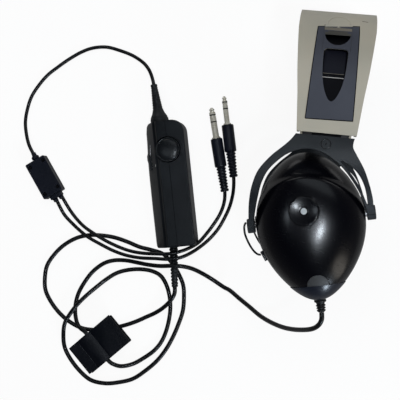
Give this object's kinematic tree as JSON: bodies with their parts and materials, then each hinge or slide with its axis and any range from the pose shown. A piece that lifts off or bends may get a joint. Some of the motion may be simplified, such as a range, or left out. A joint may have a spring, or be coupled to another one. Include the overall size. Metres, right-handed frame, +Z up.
{
  "type": "aviation headset",
  "caption": "Padded over-ear headset with a sliding headband, a control module on its cord, a clothing clip, a splitter and two plugs.",
  "frame": {"origin": "middle of the headset's footprint on the surface that it lies on, without its cords and what is on them", "axes": "+Z up from the surface, +Y towards the crown of the headband, +X the wearer's front; the left ear cup lies below"},
  "size_m": [0.3639, 0.3943, 0.168],
  "materials": {
    "cup_gloss": "glossy black",
    "chin_gloss": "glossy black",
    "tab_grey": "satin dark grey",
    "baffle_black": "matte black",
    "driver_grey": "satin grey",
    "seal_leather": "soft black",
    "screen_cloth": "thin black cloth",
    "cover_silver": "satin warm silver",
    "plate_slate": "matte slate grey",
    "yoke_black": "satin black",
    "slider_black": "satin black",
    "steel": "plain steel",
    "screw_grey": "light grey",
    "liner_black": "matte black",
    "pad_leather": "soft black",
    "cord_rubber": "satin black",
    "relief_rubber": "matte black",
    "module_black": "satin black",
    "board_green": "satin green",
    "dial_black": "matte black",
    "lens_clear": "milky",
    "contact_metal": "polished",
    "plug_black": "semi-gloss black",
    "mic_foam": "black foam"
  },
  "bodies": {
    "cup_right": {"cup_shell_right": "cup_gloss", "cup_baffle_right": "baffle_black", "driver_right": "driver_grey", "ear_seal_right": "seal_leather", "ear_screen_right": "screen_cloth", "chin_cover_right": "chin_gloss", "port_tab_right": "tab_grey", "boom_cap": "cup_gloss", "cap_screw": "screw_grey", "cup_strain_relief": "relief_rubber", "crossover_wire_right": "cord_rubber", "module_front_shell": "module_black", "module_back_shell": "module_black", "circuit_board": "board_green", "battery_cells": "steel", "indicator_lens": "lens_clear", "module_reliefs": "relief_rubber", "cord_cup": "cord_rubber", "cord_splitter": "cord_rubber", "cord_plug_1": "cord_rubber", "cord_plug_2": "cord_rubber", "splitter_lid": "module_black", "splitter_base": "module_black", "splitter_screws": "steel", "clip_base": "module_black", "plug_1_contacts": "contact_metal", "plug_1_handle": "plug_black", "plug_2_contacts": "contact_metal", "plug_2_handle": "plug_black"},
    "yoke_right": {"yoke_right": "yoke_black", "slider_right": "slider_black", "pivot_pins_right": "steel"},
    "headband": {"headband_cover": "cover_silver", "headband_spring": "slider_black", "headband_liner": "liner_black", "headband_pad": "pad_leather", "adjuster_plate_right": "plate_slate", "adjuster_plate_left": "plate_slate"},
    "yoke_left": {"yoke_left": "yoke_black", "slider_left": "slider_black", "pivot_pins_left": "steel"},
    "cup_left": {"cup_shell_left": "cup_gloss", "cup_baffle_left": "baffle_black", "driver_left": "driver_grey", "ear_seal_left": "seal_leather", "ear_screen_left": "screen_cloth", "chin_cover_left": "chin_gloss", "port_tab_left": "tab_grey", "crossover_wire_left": "cord_rubber"},
    "boom": {"boom_hub": "yoke_black", "boom_hub_screw": "screw_grey", "boom_arm": "cord_rubber", "mic_body": "module_black", "mic_muff": "mic_foam"},
    "dial_upper": {"volume_dial_upper": "dial_black"},
    "dial_lower": {"volume_dial_lower": "dial_black"},
    "switch": {"power_switch": "dial_black"},
    "door": {"battery_door": "module_black"},
    "clip_leaf": {"clip_leaf": "module_black"}
  },
  "joints": [
    {"name": "right_cup_tilt", "type": "hinge", "parent": "cup_right", "child": "yoke_right", "pos_m": [-0.00193, -0.06031, 0.137], "axis": [0.9578, 0.2874, 0], "range_deg": [-15, 15]},
    {"name": "right_slide", "type": "slide", "parent": "yoke_right", "child": "headband", "axis": [-0.0698, 0.9976, 0], "range_m": [0, 0.022]},
    {"name": "left_slide", "type": "slide", "parent": "headband", "child": "yoke_left", "axis": [0.0698, -0.9976, 0], "range_m": [0, 0.022]},
    {"name": "left_cup_tilt", "type": "hinge", "parent": "yoke_left", "child": "cup_left", "pos_m": [-0.00193, -0.06031, 0.031], "axis": [0.9578, 0.2874, 0], "range_deg": [-15, 15]},
    {"name": "boom_swing", "type": "hinge", "parent": "cup_left", "child": "boom", "pos_m": [-0.00561, -0.05327, 0.004], "axis": [0, 0, 1], "range_deg": [-15, 25]},
    {"name": "volume_upper", "type": "hinge", "parent": "cup_right", "child": "dial_upper", "pos_m": [-0.14932, -0.01942, 0.025], "axis": [0, 0, 1], "range_deg": [-150, 150]},
    {"name": "volume_lower", "type": "hinge", "parent": "cup_right", "child": "dial_lower", "pos_m": [-0.14932, -0.01942, 0.003], "axis": [0, 0, 1], "range_deg": [-150, 150]},
    {"name": "power_slide", "type": "slide", "parent": "cup_right", "child": "switch", "axis": [-0.2756, 0.9613, 0], "range_m": [0, 0.006]},
    {"name": "door_pull", "type": "slide", "parent": "cup_right", "child": "door", "axis": [0.9613, 0.2756, 0], "range_m": [0, 0.012]},
    {"name": "clip_open", "type": "hinge", "parent": "cup_right", "child": "clip_leaf", "pos_m": [-0.18944, -0.22909, 0.0109], "axis": [-0.7683, 0.6401, 0], "range_deg": [0, 12], "stiffness_Nm_per_rad": 0.2}
  ]
}
